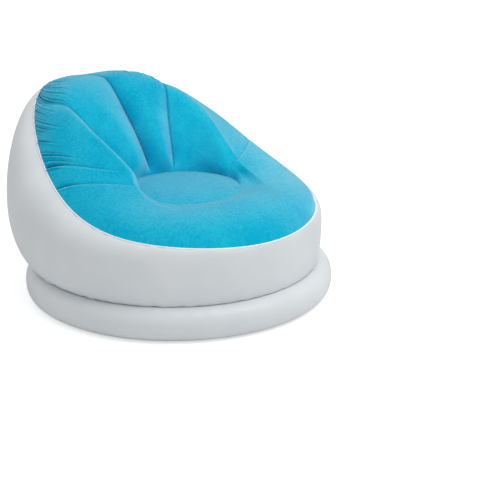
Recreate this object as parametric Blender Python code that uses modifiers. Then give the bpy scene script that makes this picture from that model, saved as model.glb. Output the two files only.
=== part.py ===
"""Inflatable lounge chair: a flocked bowl with four back channels on a round air base.

Metres, +Z up. The chair faces -Y and its width runs along X. The origin is on the
floor under the middle of the overall box. Every skin is an open surface of film with
Solidify, and the skins meet in welds: turned-in lips that lie face to face.

Angles go round the chair seen from above: 0 at the back (+Y), 90 at +X, 180 at the front.
"""
import math

import bmesh
import bpy
import numpy as np
from mathutils import Matrix, Vector

# Driving dimensions

# Base ring, measured from its own centre
BASE_RADIUS = 0.508
BASE_BULGE_HEIGHT = 0.050
FOOT_RADIUS = 0.449
WAIST_RADIUS = 0.453
WAIST_HEIGHT = 0.106

# Widest line of the body, an ellipse behind the centre of the base
BODY_SIDE_STEP = 0.001
BODY_HALF_WIDTH = BASE_RADIUS - BODY_SIDE_STEP
BODY_HALF_DEPTH = 0.5335
BODY_SETBACK = 0.0695
BULGE_BACK_HEIGHT = 0.341
BULGE_SIDE_HEIGHT = 0.263
BULGE_FRONT_HEIGHT = 0.237

# Rim, the weld between the white wall and the flocked bowl
RIM_BACK_HALF_WIDTH = 0.323
RIM_SIDE_HALF_WIDTH = 0.4145
RIM_FRONT_HALF_WIDTH = 0.4725
RIM_HALF_DEPTH = 0.5215
RIM_SETBACK = 0.0615
RIM_BACK_HEIGHT = 0.620
RIM_REAR_CORNER_HEIGHT = 0.5705
RIM_SIDE_HEIGHT = 0.376
RIM_FRONT_CORNER_HEIGHT = 0.2955
RIM_FRONT_HEIGHT = 0.2775

# Crest, the top line of the roll, inside and above the rim
CREST_BACK_INSET = 0.148
CREST_REAR_CORNER_INSET = 0.105
CREST_SIDE_INSET = 0.198
CREST_FRONT_CORNER_INSET = 0.160
CREST_FRONT_INSET = 0.182
CREST_BACK_RISE = 0.018
CREST_REAR_CORNER_RISE = 0.046
CREST_SIDE_RISE = 0.072
CREST_FRONT_CORNER_RISE = 0.058
CREST_FRONT_RISE = 0.090

# Round seat panel
SEAT_RADIUS = 0.1785
SEAT_HEIGHT = 0.352
SEAT_FORWARD = 0.029
SEAT_CROWN = 0.018

# Height of the puffed channels, of the front roll's shoulders, and depth of the crease along each seam
CHANNEL_HEIGHT = 0.038
FRONT_CROWN = 0.008
CREASE_DEPTH = 0.006

# Sheet stock and welds
VINYL = 0.0005
FLOCKED_VINYL = 0.0010
WEB_FILM = 0.0004
LIP = 0.008
GAP = 0.0003

# Forms given as shares, angles and counts
LOWER_WALL_POWER_SHARE = 2.0
UPPER_WALL_POWER_SHARE = 2.26
BASE_POWER_SHARE = 2.28
UPPER_WALL_END_DEG = 85.0
CREST_ROW_SHARE = 0.35
ROLL_START_DEG = 25.0
BOWL_TOP_PULL_SHARE = 0.21
BOWL_FOOT_BULGE_SHARE = 0.12
BOWL_FOOT_RISE_SHARE = 0.28
CHANNEL_ROUND_SHARE = 0.9
CHANNEL_SINK_SHARE = 0.5
OUTER_CROWN_SHARE = 0.4
OUTER_HEIGHT_SHARE = 1.2
FRONT_CROWN_SHARE = 0.3
CREST_SHARE = 0.25
CHANNEL_START_SHARES = (0.30, 0.62)
CHANNEL_END_SHARES = (0.84, 1.0)
CREASE_START_SHARES = (0.0, 0.15)
CREASE_END_SHARES = (0.90, 1.0)
DART_END_SHARES = (0.32, 0.5)

# Seam lines from the centre of the back to the front: angle at the rim, the crest, the seat
SEAM_DEG = ((0.0, 0.0, 0.0), (32.5, 49.0, 30.0), (74.5, 92.0, 80.0), (84.5, 102.0, 95.0),
            (180.0, 180.0, 180.0))
# How each seam turns from the rim to the crest: 1 evenly, 2 mostly near the rim
SEAM_TURN_POWER_SHARES = (2.0, 2.0, 1.0, 1.0, 1.0)
# Turn of the seam at the centre of the back towards +X, at the rim, the crest and the seat
CENTRE_TURN_DEG = (5.0, 11.0, 5.0)
COLUMN_COUNTS = (6, 6, 2, 14)
CENTRE_SEAM, INNER_SEAM, DART_SEAM, ARM_SEAM = range(4)
# Reach of each crease in column places, before and after its seam
CREASE_REACH_SHARES = {CENTRE_SEAM: (0.4, 0.4), INNER_SEAM: (0.4, 0.3),
                       DART_SEAM: (0.4, 1.0), ARM_SEAM: (1.0, 0.2)}
TOP_ROW_SHARES = (0.0, 0.07, 0.15, 0.25, 0.35, 0.45, 0.55, 0.65, 0.75, 0.85, 0.93, 1.0)
LOWER_WALL_DEG = (0.0, 26.0, 50.0, 72.0)
UPPER_WALL_SHARES = (0.0, 0.25, 0.48, 0.68, 0.86, 1.0)
BASE_FLAT_DEG = 22.0
BASE_DEG = (-90.0, -76.0, -60.0, -42.0, -BASE_FLAT_DEG, BASE_FLAT_DEG, 45.0, 68.0, 90.0)
SEAT_RING_SHARES = (1.0, 0.75, 0.45, 0.15)
RIM_LIP_TILT_DEG = 45.0

# Rows of the flocked grid under which the back webs and the arm webs are welded
BACK_WEB_ROWS = slice(4, 10)
ARM_WEB_ROWS = slice(5, 8)

# Lines of the outer wall's grid between which the webs' feet run
WALL_WEB_TOP_COUNT = 7
WALL_WEB_FOOT_COUNT = 2

# A small step in angle or row for slopes
NUDGE_SHARE = 1e-4

# Row values of the outer wall's grid, lips left out
WALL_STEPS = np.concatenate([np.array(LOWER_WALL_DEG) / 90, 1 + np.array(UPPER_WALL_SHARES)])

# The overall box is centred on the origin in Y
BASE_CENTRE_Y = (BASE_RADIUS - BODY_SETBACK - BODY_HALF_DEPTH) / 2


def round_chair(values, phi):
    """Smooth value round the chair through values at even angles from the back to the front.

    It is the sum of a_k cos(k phi), the same on both sides of the chair.
    """
    turns = np.arange(len(values))
    marks = turns * math.pi / (len(values) - 1)
    waves = np.linalg.solve(np.cos(np.outer(marks, turns)), values)
    return np.cos(np.multiply.outer(phi, turns)) @ waves


def smooth(x, low, high):
    """Smooth step from 0 at low to 1 at high."""
    t = np.clip((x - low) / (high - low), 0, 1)
    return t * t * (3 - 2 * t)


def unit(v):
    """Vectors of length one."""
    return v / np.linalg.norm(v, axis=-1, keepdims=True)


def rim(phi):
    """Rim weld: an egg-shaped line that rises to the back."""
    half_width = round_chair((RIM_BACK_HALF_WIDTH, RIM_SIDE_HALF_WIDTH, RIM_FRONT_HALF_WIDTH), phi)
    height = round_chair((RIM_BACK_HEIGHT, RIM_REAR_CORNER_HEIGHT, RIM_SIDE_HEIGHT,
                          RIM_FRONT_CORNER_HEIGHT, RIM_FRONT_HEIGHT), phi)
    y = BASE_CENTRE_Y + RIM_SETBACK + RIM_HALF_DEPTH * np.cos(phi)
    return np.stack([half_width * np.sin(phi), y, height], -1)


def bulge(phi):
    """Widest line of the body."""
    x = BODY_HALF_WIDTH * np.sin(phi)
    y = BASE_CENTRE_Y + BODY_SETBACK + BODY_HALF_DEPTH * np.cos(phi)
    z = round_chair((BULGE_BACK_HEIGHT, BULGE_SIDE_HEIGHT, BULGE_FRONT_HEIGHT), phi)
    return np.stack([x, y, z], -1)


def ring(radius, height, centre_y, phi):
    """Level circle."""
    x = radius * np.sin(phi)
    y = centre_y + radius * np.cos(phi)
    return np.stack([x, y, height + np.zeros_like(phi)], -1)


def waist(phi):
    """Weld between the body and the base ring."""
    return ring(WAIST_RADIUS, WAIST_HEIGHT, BASE_CENTRE_Y, phi)


def seat_edge(phi):
    """Weld between the bowl and the seat panel."""
    return ring(SEAT_RADIUS, SEAT_HEIGHT, BASE_CENTRE_Y - SEAT_FORWARD, phi)


def crest(phi):
    """Top line of the roll."""
    edge = rim(phi)
    centre = np.array([0.0, BASE_CENTRE_Y - SEAT_FORWARD])
    spoke = edge[..., :2] - centre
    inset = round_chair((CREST_BACK_INSET, CREST_REAR_CORNER_INSET, CREST_SIDE_INSET,
                         CREST_FRONT_CORNER_INSET, CREST_FRONT_INSET), phi)
    rise = round_chair((CREST_BACK_RISE, CREST_REAR_CORNER_RISE, CREST_SIDE_RISE,
                        CREST_FRONT_CORNER_RISE, CREST_FRONT_RISE), phi)
    plan = centre + spoke * (1 - inset / np.linalg.norm(spoke, axis=-1))[..., None]
    return np.concatenate([plan, (edge[..., 2] + rise)[..., None]], -1)


def arc(start, end, across, along):
    """Point between two others, with its own share in plan and in height."""
    plan = start[..., :2] + (end - start)[..., :2] * across[..., None]
    height = start[..., 2:] + (end - start)[..., 2:] * along[..., None]
    return np.concatenate([plan, height], -1)


def wall(phi, row):
    """White wall: rows 0 to 1 go out from the waist to the bulge, 1 to 2 up to the rim."""
    angle = np.clip(row, 0, 1) * math.pi / 2
    power = 2 / LOWER_WALL_POWER_SHARE
    lower = arc(waist(phi), bulge(phi), np.sin(angle) ** power, 1 - np.cos(angle) ** power)
    end = math.radians(UPPER_WALL_END_DEG)
    angle = np.clip(row - 1, 0, 1) * end
    power = 2 / UPPER_WALL_POWER_SHARE
    across = (1 - np.cos(angle) ** power) / (1 - math.cos(end) ** power)
    along = np.sin(angle) ** power / math.sin(end) ** power
    upper = arc(bulge(phi), rim(phi), across, along)
    return np.where((row < 1)[..., None], lower, upper)


def bowl(phi, row):
    """Flocked bowl without its valleys: row 0 at the rim, over the crest, row 1 at the seat."""
    out = np.clip(row / CREST_ROW_SHARE, 0, 1)
    start = math.radians(ROLL_START_DEG)
    angle = start + (math.pi / 2 - start) * out
    across = (math.cos(start) - np.cos(angle)) / math.cos(start)
    along = (np.sin(angle) - math.sin(start)) / (1 - math.sin(start))
    outer = arc(rim(phi), crest(phi), across, along)
    w = np.clip((row - CREST_ROW_SHARE) / (1 - CREST_ROW_SHARE), 0, 1)[..., None]
    top, foot = crest(phi), seat_edge(phi)
    inward = (foot - top) * np.array([1.0, 1.0, 0.0])
    upward = (top - foot) * np.array([0.0, 0.0, 1.0])
    top_pull = top + inward * BOWL_TOP_PULL_SHARE
    foot_pull = foot + inward * BOWL_FOOT_BULGE_SHARE + upward * BOWL_FOOT_RISE_SHARE
    v = 1 - w
    inner = v ** 3 * top + 3 * v * v * w * top_pull + 3 * v * w * w * foot_pull + w ** 3 * foot
    return np.where((row < CREST_ROW_SHARE)[..., None], outer, inner)


def columns():
    """Column places from the left of the front round the back: 0 centre, 1, 2, 3 seams, 4 front."""
    half = [0.0]
    for seam, count in enumerate(COLUMN_COUNTS):
        half += [seam + (k + 1) / count for k in range(count)]
    half = np.array(half)
    return np.concatenate([-half[:0:-1], half])


def column_angle(place, row):
    """Angle of a column at a row of the bowl, in radians."""
    marks = np.arange(len(SEAM_DEG))
    table = np.radians(np.array(SEAM_DEG))
    turn = np.radians(np.array(CENTRE_TURN_DEG))
    p = np.abs(place)
    near = np.clip(1 - p, 0, 1)
    at_rim, at_crest, at_seat = (np.sign(place) * np.interp(p, marks, table[:, k]) + turn[k] * near
                                 for k in range(3))
    power = np.interp(p, marks, SEAM_TURN_POWER_SHARES)
    outer = at_rim + (at_crest - at_rim) * (1 - (1 - np.clip(row / CREST_ROW_SHARE, 0, 1)) ** power)
    inner = at_crest + (at_seat - at_crest) * smooth(row, CREST_ROW_SHARE, 1)
    return np.where(row < CREST_ROW_SHARE, outer, inner)


def valley(distance, width):
    """Cusp of depth one at a weld, back to zero one width away."""
    return np.clip(1 - np.abs(distance) / width, 0, 1) ** 2


def channel_form(place):
    """Shape of the puffed channels from 0 at their seams to 1 at their crowns."""
    p = np.abs(place)
    inner = 1 - (2 * np.clip(p, CENTRE_SEAM, INNER_SEAM) - 1) ** 2
    x = np.clip((p - INNER_SEAM) / (ARM_SEAM - INNER_SEAM), 0, 1)
    rising = 1 - np.clip(1 - x / OUTER_CROWN_SHARE, 0, 1) ** 2
    outer = OUTER_HEIGHT_SHARE * rising * (1 - smooth(x, OUTER_CROWN_SHARE, 1))
    return np.where(p < INNER_SEAM, np.clip(inner, 0, 1) ** CHANNEL_ROUND_SHARE, outer)


def puff(place, row):
    """Height of the flocked sheet over the plain bowl: crowned channels and creased seams."""
    p = np.abs(place)
    risen = smooth(row, 0, CREST_ROW_SHARE)
    deep = smooth(row, *CHANNEL_START_SHARES)
    fading = 1 - smooth(row, *CHANNEL_END_SHARES)
    net = CREST_SHARE * risen + (1 - CREST_SHARE) * deep
    sink = CHANNEL_SINK_SHARE * deep * (1 - smooth(p, INNER_SEAM, ARM_SEAM))
    height = CHANNEL_HEIGHT * net * (channel_form(p) - sink) * fading
    x = np.clip(p - ARM_SEAM, 0, 1)
    front = smooth(x, 0, FRONT_CROWN_SHARE) * (1 - smooth(x, FRONT_CROWN_SHARE, 1))
    height = height + FRONT_CROWN * front * risen * fading
    for seam, (before, after) in CREASE_REACH_SHARES.items():
        line = valley(p - seam, np.where(p < seam, before, after))
        if seam == DART_SEAM:
            line = line * (1 - smooth(row, *DART_END_SHARES))
        along = smooth(row, *CREASE_START_SHARES) * (1 - smooth(row, *CREASE_END_SHARES))
        height = height - CREASE_DEPTH * line * along
    return height


def surface_normal(surface, phi, row):
    """Normal of a surface of angle and row, on its outer side."""
    step = NUDGE_SHARE
    round_it = surface(phi + step, row) - surface(phi - step, row)
    back, ahead = np.clip(row - step, 0, 2), np.clip(row + step, 0, 2)
    if surface is bowl:
        ahead = np.clip(ahead, 0, 1)
    along_it = surface(phi, ahead) - surface(phi, back)
    return unit(np.cross(along_it, round_it))


PLACES = columns()
RIM_ANGLES = column_angle(PLACES, np.zeros_like(PLACES))
SEAT_ANGLES = column_angle(PLACES, np.ones_like(PLACES))


def column_of(place):
    """Index of the column at a seam place."""
    return int(np.argmin(np.abs(PLACES - place)))


# Weld geometry shared by the skins

def rim_weld():
    """Rim points, the way in along the lip, and the way across to the flocked side."""
    tilt = math.radians(RIM_LIP_TILT_DEG)
    level = math.cos(tilt)
    down = np.full_like(RIM_ANGLES, -math.sin(tilt))
    inward = np.stack([-level * np.sin(RIM_ANGLES), -level * np.cos(RIM_ANGLES), down], -1)
    round_it = rim(RIM_ANGLES + NUDGE_SHARE) - rim(RIM_ANGLES - NUDGE_SHARE)
    return rim(RIM_ANGLES), inward, unit(np.cross(inward, round_it))


def bowl_grid():
    """Points of the flocked sheet, row by column, and the plain bowl's normals there."""
    place, row = np.meshgrid(PLACES, np.array(TOP_ROW_SHARES))
    phi = column_angle(place, row)
    normal = surface_normal(bowl, phi, np.clip(row, NUDGE_SHARE, 1 - NUDGE_SHARE))
    return bowl(phi, row) + normal * puff(place, row)[..., None], normal


GRID, GRID_NORMAL = bowl_grid()


def flocked_rows():
    """Rows of the whole flocked sheet with its lips at the rim and round the seat."""
    points, inward, across = rim_weld()
    edge = points + across * GAP / 2
    spoke = np.stack([np.sin(SEAT_ANGLES), np.cos(SEAT_ANGLES), np.zeros_like(SEAT_ANGLES)], -1)
    foot = seat_edge(SEAT_ANGLES) + spoke * (WEB_FILM / 2 + GAP)
    below = foot - np.array([0.0, 0.0, LIP])
    return np.concatenate([[edge + inward * LIP, edge], GRID[1:-1], [foot, below]])


def seam_frame(place):
    """Points of the whole seam column, its one lip direction and the way across to the back."""
    j = column_of(place)
    along = GRID[ARM_WEB_ROWS.start, j] - GRID[ARM_WEB_ROWS.stop, j]
    inward = unit(np.cross(along, GRID[ARM_WEB_ROWS, j + 1].mean(0) - GRID[ARM_WEB_ROWS, j - 1].mean(0)))
    across = unit(np.cross(np.gradient(GRID[:, j], axis=0), GRID_NORMAL[:, j]) * np.sign(place))
    ends = []
    for line, angle, k in ((rim, RIM_ANGLES[j], 0), (seat_edge, SEAT_ANGLES[j], -1)):
        along = unit(line(angle - NUDGE_SHARE) - line(angle + NUDGE_SHARE)) * np.sign(place)
        ends.append(along / np.dot(along, across[k]))
    return flocked_rows()[:, j], inward, np.array([ends[0], ends[0], *across[1:-1], ends[1], ends[1]])


# Blender helpers

def clear_scene():
    """Remove what the scene holds, then make the two collections."""
    for obj in list(bpy.data.objects):
        bpy.data.objects.remove(obj, do_unlink=True)
    parts = bpy.data.collections.new("inflatable_chair")
    cutters = bpy.data.collections.new("cutters")
    for group in (parts, cutters):
        bpy.context.scene.collection.children.link(group)
    return parts, cutters


PARTS, CUTTERS = clear_scene()


def material(name, colour, roughness):
    """Principled material in one colour."""
    mat = bpy.data.materials.new(name)
    mat.use_nodes = True
    shader = mat.node_tree.nodes["Principled BSDF"]
    shader.inputs["Base Color"].default_value = (*colour, 1.0)
    shader.inputs["Roughness"].default_value = roughness
    shader.inputs["Metallic"].default_value = 0.0
    mat.diffuse_color = (*colour, 1.0)
    return mat


def add_object(name, mesh, colour, roughness):
    """Object of a mesh in the parts' collection with its own material."""
    obj = bpy.data.objects.new(name, mesh)
    PARTS.objects.link(obj)
    mesh.materials.append(material(name, colour, roughness))
    mesh.shade_smooth()
    return obj


BLUE = (0.02, 0.42, 0.66)
WHITE = (0.80, 0.81, 0.83)
CLEAR = (0.72, 0.74, 0.76)
VALVE_WHITE = (0.86, 0.86, 0.86)
SOFT_ROUGHNESS = 0.9
VINYL_ROUGHNESS = 0.35
MERGE = 0.00001


def sheet(name, rows, thickness, colour, roughness, closed=False, offset=-1.0):
    """Skin of film: a grid of points in rows, made thick away from its outer side."""
    count_rows, count_cols = rows.shape[:2]
    bm = bmesh.new()
    verts = [[bm.verts.new(p) for p in line] for line in rows.tolist()]
    steps = count_cols if closed else count_cols - 1
    for r in range(count_rows - 1):
        for c in range(steps):
            d = (c + 1) % count_cols
            bm.faces.new((verts[r][c], verts[r + 1][c], verts[r + 1][d], verts[r][d]))
    bmesh.ops.remove_doubles(bm, verts=bm.verts, dist=MERGE)
    mesh = bpy.data.meshes.new(name)
    bm.to_mesh(mesh)
    bm.free()
    obj = add_object(name, mesh, colour, roughness)
    solid = obj.modifiers.new("Film", "SOLIDIFY")
    solid.thickness = thickness
    solid.offset = offset
    return obj


def boolean(obj, tool, operation):
    """Boolean modifier that cuts or joins with a tool object."""
    mod = obj.modifiers.new(tool.name, "BOOLEAN")
    mod.operation = operation
    mod.object = tool
    mod.solver = "EXACT"


def hide_tool(tool):
    """Keep a tool in the cutters' collection, out of renders."""
    for group in list(tool.users_collection):
        group.objects.unlink(tool)
    CUTTERS.objects.link(tool)
    tool.hide_render = True
    tool.display_type = "WIRE"


def cylinder_tool(name, radius, depth, sides):
    """Cylinder cutter along its own Z."""
    bpy.ops.mesh.primitive_cylinder_add(vertices=sides, radius=radius, depth=depth)
    tool = bpy.context.object
    tool.name = name
    hide_tool(tool)
    return tool


def box_tool(name, low, high):
    """Box tool between two corners in its parent's space, its origin at the parent's."""
    bm = bmesh.new()
    bmesh.ops.create_cube(bm, size=1.0)
    low, high = Vector(low), Vector(high)
    bmesh.ops.scale(bm, vec=high - low, verts=bm.verts)
    bmesh.ops.translate(bm, vec=(low + high) / 2, verts=bm.verts)
    mesh = bpy.data.meshes.new(name)
    bm.to_mesh(mesh)
    bm.free()
    tool = bpy.data.objects.new(name, mesh)
    CUTTERS.objects.link(tool)
    hide_tool(tool)
    return tool


TURN_STEPS = 24


def turned(name, profile, colour, roughness):
    """Piece turned round its Z from a closed profile of (radius, height)."""
    bm = bmesh.new()
    verts = [bm.verts.new((r, 0, z)) for r, z in profile]
    for a, b in zip(verts, verts[1:] + verts[:1]):
        bm.edges.new((a, b))
    mesh = bpy.data.meshes.new(name)
    bm.to_mesh(mesh)
    bm.free()
    obj = add_object(name, mesh, colour, roughness)
    screw = obj.modifiers.new("Turn", "SCREW")
    screw.steps = TURN_STEPS
    screw.render_steps = TURN_STEPS
    screw.use_merge_vertices = True
    screw.merge_threshold = MERGE
    return obj


# Flocked bowl: one back panel with the channels and one panel for the arms and front

def flocked_panels():
    """Back panel and front panel, parted at the two arm seams."""
    rows = flocked_rows()
    left, right = column_of(-ARM_SEAM), column_of(ARM_SEAM)
    side = WEB_FILM / 2 + GAP
    width = np.zeros((len(rows), 1))
    width[ARM_WEB_ROWS.start + 1:ARM_WEB_ROWS.stop + 1] = LIP
    edges = {}
    for j, place in ((left, -ARM_SEAM), (right, ARM_SEAM)):
        points, inward, across = seam_frame(place)
        edges[j] = (points + across * side, points - across * side, inward * width)

    # Back panel, from the left arm seam round the back to the right one
    (start, _, start_lip), (end, _, end_lip) = edges[left], edges[right]
    back = [start + start_lip, start, *rows[:, left + 1:right].swapaxes(0, 1), end, end + end_lip]
    sheet("back_panel", np.stack(back, 1), FLOCKED_VINYL, BLUE, SOFT_ROUGHNESS)

    # Front panel, from the right arm seam round the front to the left one
    (_, end, end_lip), (_, start, start_lip) = edges[left], edges[right]
    middle = np.concatenate([rows[:, right + 1:-1], rows[:, :left]], 1)
    front = [start + start_lip, start, *middle.swapaxes(0, 1), end, end + end_lip]
    sheet("front_panel", np.stack(front, 1), FLOCKED_VINYL, BLUE, SOFT_ROUGHNESS)


def seat_panel():
    """Round flocked panel, crowned, with a lip turned down at its edge."""
    angles = SEAT_ANGLES[:-1]
    radius = SEAT_RADIUS - WEB_FILM / 2 - GAP
    centre_y = BASE_CENTRE_Y - SEAT_FORWARD
    rows = [ring(radius, SEAT_HEIGHT - LIP, centre_y, angles)]
    for share in SEAT_RING_SHARES:
        height = SEAT_HEIGHT + SEAT_CROWN * (1 - share ** 2)
        rows.append(ring(radius * share, height, centre_y, angles))
    obj = sheet("seat_panel", np.array(rows), FLOCKED_VINYL, BLUE, SOFT_ROUGHNESS, closed=True)
    # The middle is closed with one face
    bm = bmesh.new()
    bm.from_mesh(obj.data)
    hole = [e for e in bm.edges if e.is_boundary and e.verts[0].co.z > SEAT_HEIGHT]
    bmesh.ops.edgeloop_fill(bm, edges=hole)
    bmesh.ops.recalc_face_normals(bm, faces=bm.faces)
    if max(bm.faces, key=lambda f: f.calc_center_median().z).normal.z < 0:
        bmesh.ops.reverse_faces(bm, faces=bm.faces)
    bm.to_mesh(obj.data)
    bm.free()
    obj.data.shade_smooth()


# White skins

def wall_rows():
    """Rows of the outer wall from its lip at the waist to its lip at the rim."""
    angles = RIM_ANGLES[:-1]
    phi, row = np.meshgrid(angles, WALL_STEPS)
    rows = wall(phi, row)
    lift = WEB_FILM / 2 + GAP
    rows[0] = ring(WAIST_RADIUS, WAIST_HEIGHT + lift, BASE_CENTRE_Y, angles)
    lip = ring(WAIST_RADIUS - LIP, WAIST_HEIGHT + lift, BASE_CENTRE_Y, angles)
    points, inward, across = (values[:-1] for values in rim_weld())
    rows[-1] = points - across * GAP / 2
    return np.concatenate([[lip], rows, [rows[-1] + inward * LIP]])


def base_rows():
    """Rows of the base ring from its lip on the floor sheet to its lip at the waist."""
    angles = RIM_ANGLES[:-1]
    floor = VINYL + GAP
    top = WAIST_HEIGHT - WEB_FILM / 2 - GAP
    power = 2 / BASE_POWER_SHARE
    rows = [ring(FOOT_RADIUS - LIP, floor, BASE_CENTRE_Y, angles)]
    for degrees in BASE_DEG:
        angle = math.radians(degrees)
        out = min(max(math.cos(angle), 0) / math.cos(math.radians(BASE_FLAT_DEG)), 1) ** power
        end_radius, end_height = (FOOT_RADIUS, floor) if degrees < 0 else (WAIST_RADIUS, top)
        radius = end_radius + (BASE_RADIUS - end_radius) * out
        height = BASE_BULGE_HEIGHT + (end_height - BASE_BULGE_HEIGHT) * abs(math.sin(angle)) ** power
        rows.append(ring(radius, height, BASE_CENTRE_Y, angles))
    rows.append(ring(WAIST_RADIUS - LIP, top, BASE_CENTRE_Y, angles))
    return np.array(rows)


def flatten(rows, r, c):
    """Draw one facet of a skin flat, as a stiff valve does, and return its frame."""
    index = ((r, c), (r, c + 1), (r + 1, c + 1), (r + 1, c))
    corners = np.array([rows[i] for i in index])
    centre = corners.mean(0)
    normal = unit(np.cross(corners[2] - corners[0], corners[1] - corners[3]))
    for i in index:
        rows[i] = rows[i] - normal * np.dot(rows[i] - centre, normal)
    right = unit(np.cross(np.array([0.0, 0.0, 1.0]), normal))
    turn = Matrix(np.array([right, np.cross(normal, right), normal]).T.tolist())
    return Matrix.Translation(centre) @ turn.to_4x4()


def disc(name, radius, height, thickness, colour, roughness):
    """Flat round sheet with the facets of the base ring."""
    angles = RIM_ANGLES[:-1]
    bm = bmesh.new()
    edge = [bm.verts.new(p) for p in ring(radius, height, BASE_CENTRE_Y, angles).tolist()]
    bm.faces.new(edge[::-1])
    mesh = bpy.data.meshes.new(name)
    bm.to_mesh(mesh)
    bm.free()
    obj = add_object(name, mesh, colour, roughness)
    solid = obj.modifiers.new("Film", "SOLIDIFY")
    solid.thickness = thickness
    solid.offset = 1.0
    return obj


def white_skins():
    """Outer wall, base ring, floor sheet and the sheet between the two chambers."""
    body, base = wall_rows(), base_rows()
    body_frame = flatten(body, BODY_VALVE_ROW_COUNT, column_of(0) + VALVE_COLUMN_COUNT)
    base_frame = flatten(base, BASE_VALVE_ROW_COUNT, column_of(0) - VALVE_COLUMN_COUNT - 1)
    outer_wall = sheet("outer_wall", body, VINYL, WHITE, VINYL_ROUGHNESS, closed=True)
    base_wall = sheet("base_wall", base, VINYL, WHITE, VINYL_ROUGHNESS, closed=True)
    disc("floor_sheet", FOOT_RADIUS, 0, VINYL, WHITE, VINYL_ROUGHNESS)
    disc("partition_sheet", WAIST_RADIUS, WAIST_HEIGHT - WEB_FILM / 2, WEB_FILM, CLEAR, VINYL_ROUGHNESS)
    return outer_wall, body_frame, base_wall, base_frame


# Webs inside the chambers

def web(name, heads, inward, drop, neck, feet):
    """Web from a weld under the flocked sheet to the inside of the outer wall."""
    throat = heads + inward * (drop + neck)
    rows = np.array([heads + inward * drop, throat, (throat + feet) / 2, feet])
    sheet(name, rows, WEB_FILM, CLEAR, VINYL_ROUGHNESS, offset=0.0)


WEB_SEAT_SHARE = 1.35


def body_webs(body):
    """Three webs under the back channels and one under each arm seam."""
    names = {0: "back_web_centre", INNER_SEAM: "back_web_right", -INNER_SEAM: "back_web_left",
             ARM_SEAM: "arm_web_right", -ARM_SEAM: "arm_web_left"}
    for place, name in names.items():
        j = column_of(place)
        at_arm = abs(place) == ARM_SEAM
        rows = ARM_WEB_ROWS if at_arm else BACK_WEB_ROWS
        heads = GRID[rows, j]
        pick = np.linspace(WALL_WEB_TOP_COUNT, WALL_WEB_FOOT_COUNT, len(heads)).round().astype(int)
        normal = surface_normal(wall, np.full(len(heads), RIM_ANGLES[j]), WALL_STEPS[pick - 1])
        feet = body[pick, j] - normal * (VINYL * WEB_SEAT_SHARE + GAP)
        inward = seam_frame(place)[1] if at_arm else -GRID_NORMAL[rows, j]
        drop = WEB_FILM if at_arm else FLOCKED_VINYL * 2 + GAP
        web(name, heads, inward, drop, LIP, feet)


# Round air holes in the tension webs
AIR_HOLE_RADIUS = 0.014
AIR_HOLE_COUNT = 4


def tension_web(name, top, bottom):
    """Round web under the seat, with air holes."""
    centre_y = BASE_CENTRE_Y - SEAT_FORWARD
    rows = np.array([ring(SEAT_RADIUS, bottom, centre_y, SEAT_ANGLES[:-1]),
                     ring(SEAT_RADIUS, top, centre_y, SEAT_ANGLES[:-1])])
    obj = sheet(name, rows, WEB_FILM, CLEAR, VINYL_ROUGHNESS, closed=True, offset=0.0)
    for k in range(AIR_HOLE_COUNT):
        angle = (k + 0.5) * 2 * math.pi / AIR_HOLE_COUNT
        spot = ring(SEAT_RADIUS, (top + bottom) / 2, centre_y, np.array([angle]))[0]
        tool = cylinder_tool(f"{name}_air_hole_{k}", AIR_HOLE_RADIUS, SEAT_RADIUS / 2, TURN_STEPS // 2)
        tool.location = spot
        tool.rotation_euler = (math.pi / 2, 0, -angle)
        boolean(obj, tool, "DIFFERENCE")


# Valves: collar with flange, wide stopper on a strap, cap on a strap, check flap
BODY_VALVE_ROW_COUNT = 3
BASE_VALVE_ROW_COUNT = 5
VALVE_COLUMN_COUNT = 2
FLANGE_RADIUS = 0.021
FLANGE_THICKNESS = 0.001
COLLAR_RADIUS = 0.0168
COLLAR_RISE = 0.002
COLLAR_DEPTH = 0.007
BORE_TOP_RADIUS = 0.0148
BORE_FOOT_RADIUS = 0.0117
PLUG_DEPTH = 0.006
HEAD_RADIUS = 0.0175
HEAD_THICKNESS = 0.0018
STRAP_THICKNESS = 0.0012
STRAP_WIDTH = 0.006
STRAP_REACH = 0.022
LUG_LENGTH = 0.0025
PULL_TAB = 0.004
INLET_TOP_RADIUS = 0.0044
INLET_FOOT_RADIUS = 0.0030
INLET_TAPER_DEPTH = 0.004
CAP_PLUG_DEPTH = 0.0035
CAP_RADIUS = 0.0065
CAP_THICKNESS = 0.0014
CAP_STRAP_THICKNESS = 0.0008
CAP_STRAP_WIDTH = 0.004
CAP_STRAP_REACH = 0.0115
FLAP_RADIUS = 0.0055
FLAP_THICKNESS = 0.0006
INSET = 0.0002


def bore_radius(height):
    """Radius of the collar's tapered bore at a height."""
    share = (COLLAR_RISE - height) / (COLLAR_RISE + COLLAR_DEPTH)
    return BORE_TOP_RADIUS + (BORE_FOOT_RADIUS - BORE_TOP_RADIUS) * share


def joint_empty(name, parent, spot):
    """Empty on a joint axis at a spot of the valve's space, which turns with its parent."""
    empty = bpy.data.objects.new(name, None)
    PARTS.objects.link(empty)
    empty.parent = parent
    empty.location = Vector(spot) - sum_of_locations(parent)
    return empty


def sum_of_locations(empty):
    """Place of an empty in the valve's space."""
    place = Vector()
    while empty.parent:
        place += empty.location
        empty = empty.parent
    return place


def hang(obj, empty):
    """Parent a piece drawn in the valve's space to an empty, the piece staying in place."""
    obj.parent = empty
    obj.location = -sum_of_locations(empty)


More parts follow.
